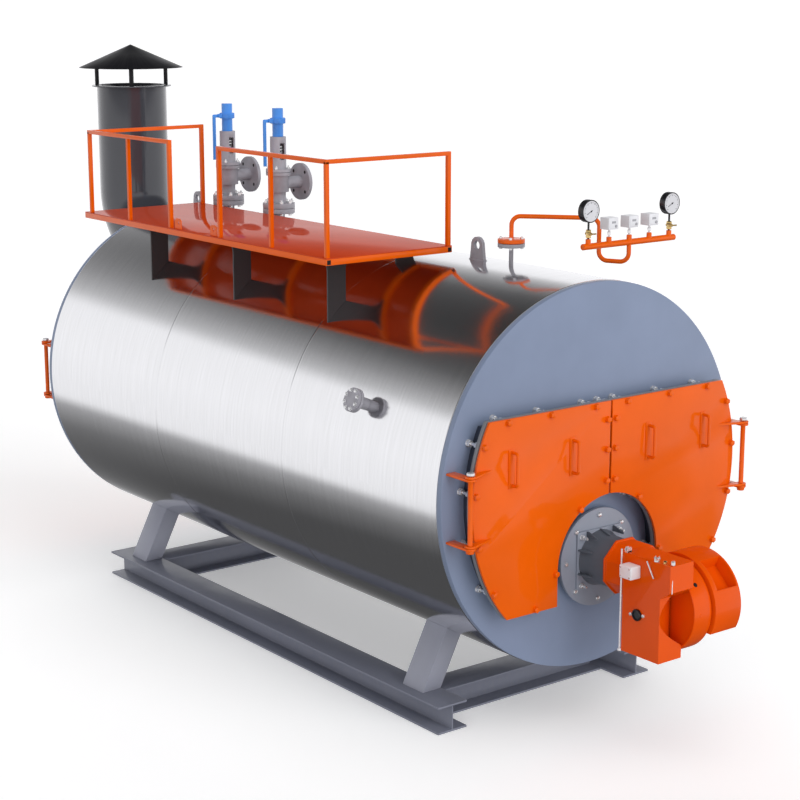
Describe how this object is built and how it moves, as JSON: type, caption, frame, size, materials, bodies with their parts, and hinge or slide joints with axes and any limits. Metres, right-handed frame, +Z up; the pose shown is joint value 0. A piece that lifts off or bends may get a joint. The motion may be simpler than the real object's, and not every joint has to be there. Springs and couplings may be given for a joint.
{
  "type": "horizontal industrial steam boiler",
  "caption": "Horizontal fire-tube steam boiler on a beam base, with burner, hinged smoke-box doors, flue with rain cap, safety valves, gauge line and railed working deck.",
  "frame": {"origin": "on the floor under the middle of the front cross-beam of the base", "axes": "+X to the right seen from the burner end, +Y from the burner end to the flue end, +Z up"},
  "size_m": [2.2451, 6.256, 3.705],
  "materials": {
    "base_paint": "slate grey paint, satin",
    "cladding_steel": "stainless sheet, brushed round the shell",
    "plate_paint": "slate blue-grey paint, satin",
    "smoke_box_paint": "dark navy-grey paint, satin",
    "orange_paint": "orange paint, semi-gloss",
    "deck_paint": "orange-red paint, gloss",
    "burner_grey": "dark grey paint, satin",
    "flue_paint": "dark grey heat-resistant paint, gloss",
    "cap_paint": "black paint, satin",
    "valve_grey": "grey paint over cast iron, rough",
    "valve_blue": "bright blue paint, gloss",
    "gauge_case": "black enamel, gloss",
    "white_case": "white moulded plastic, satin",
    "sight_black": "black moulded cap, gloss"
  },
  "bodies": {
    "root": {"base_beam_left": "base_paint", "base_beam_right": "base_paint", "base_crossbeam_front": "base_paint", "base_crossbeam_rear": "base_paint", "burner_air_intake": "orange_paint", "burner_body": "orange_paint", "burner_fan_housing": "orange_paint", "burner_head": "orange_paint", "burner_junction_box": "white_case", "burner_mount": "burner_grey", "burner_sight_port": "sight_black", "burner_throat": "burner_grey", "cladding_front": "cladding_steel", "cladding_middle": "cladding_steel", "cladding_rear": "cladding_steel", "deck_frame": "deck_paint", "deck_plate": "deck_paint", "deck_supports": "base_paint", "flue_cap": "cap_paint", "flue_cap_struts": "cap_paint", "flue_pipe": "flue_paint", "front_hinge_arms": "orange_paint", "front_hinge_pins": "orange_paint", "front_plate": "plate_paint", "front_smoke_box": "smoke_box_paint", "gauge_header": "orange_paint", "gauge_nozzle": "valve_grey", "gauge_pipe": "orange_paint", "lifting_lug_front": "valve_grey", "lifting_lug_rear": "valve_grey", "pressure_controllers": "white_case", "pressure_gauges": "gauge_case", "railing_front": "orange_paint", "railing_rear": "orange_paint", "rear_hinge_arms": "orange_paint", "rear_hinge_pins": "orange_paint", "rear_plate": "plate_paint", "rear_smoke_box": "smoke_box_paint", "saddle_legs_front": "base_paint", "saddle_legs_rear": "base_paint", "safety_valve_front": "valve_grey", "safety_valve_front_cap": "valve_blue", "safety_valve_necks": "valve_grey", "safety_valve_rear": "valve_grey", "safety_valve_rear_cap": "valve_blue", "side_nozzle": "valve_grey", "side_nozzle_cover": "valve_grey"},
    "front_door_left": {"front_door_left": "orange_paint", "front_door_left_handles": "orange_paint"},
    "front_door_right": {"front_door_right": "orange_paint", "front_door_right_handles": "orange_paint"},
    "rear_door_left": {"rear_door_left": "orange_paint", "rear_door_left_handles": "orange_paint"},
    "rear_door_right": {"rear_door_right": "orange_paint", "rear_door_right_handles": "orange_paint"},
    "lever_front": {"safety_valve_front_lever": "valve_blue"},
    "lever_rear": {"safety_valve_rear_lever": "valve_blue"}
  },
  "joints": [
    {"name": "front_door_left_hinge", "type": "hinge", "parent": "root", "child": "front_door_left", "pos_m": [-1.034, -0.81, 1.453], "axis": [0, 0, -1], "range_deg": [0, 110]},
    {"name": "front_door_right_hinge", "type": "hinge", "parent": "root", "child": "front_door_right", "pos_m": [1.034, -0.81, 1.453], "axis": [0, 0, 1], "range_deg": [0, 110]},
    {"name": "rear_door_left_hinge", "type": "hinge", "parent": "root", "child": "rear_door_left", "pos_m": [1.034, 3.936, 1.453], "axis": [0, 0, -1], "range_deg": [0, 110]},
    {"name": "rear_door_right_hinge", "type": "hinge", "parent": "root", "child": "rear_door_right", "pos_m": [-1.034, 3.936, 1.453], "axis": [0, 0, 1], "range_deg": [0, 110]},
    {"name": "safety_valve_front_lever_pivot", "type": "hinge", "parent": "root", "child": "lever_front", "pos_m": [-0.066, 2.468, 3.251], "axis": [0, 1, 0], "range_deg": [0, 35]},
    {"name": "safety_valve_rear_lever_pivot", "type": "hinge", "parent": "root", "child": "lever_rear", "pos_m": [-0.066, 3.097, 3.251], "axis": [0, 1, 0], "range_deg": [0, 35]}
  ]
}
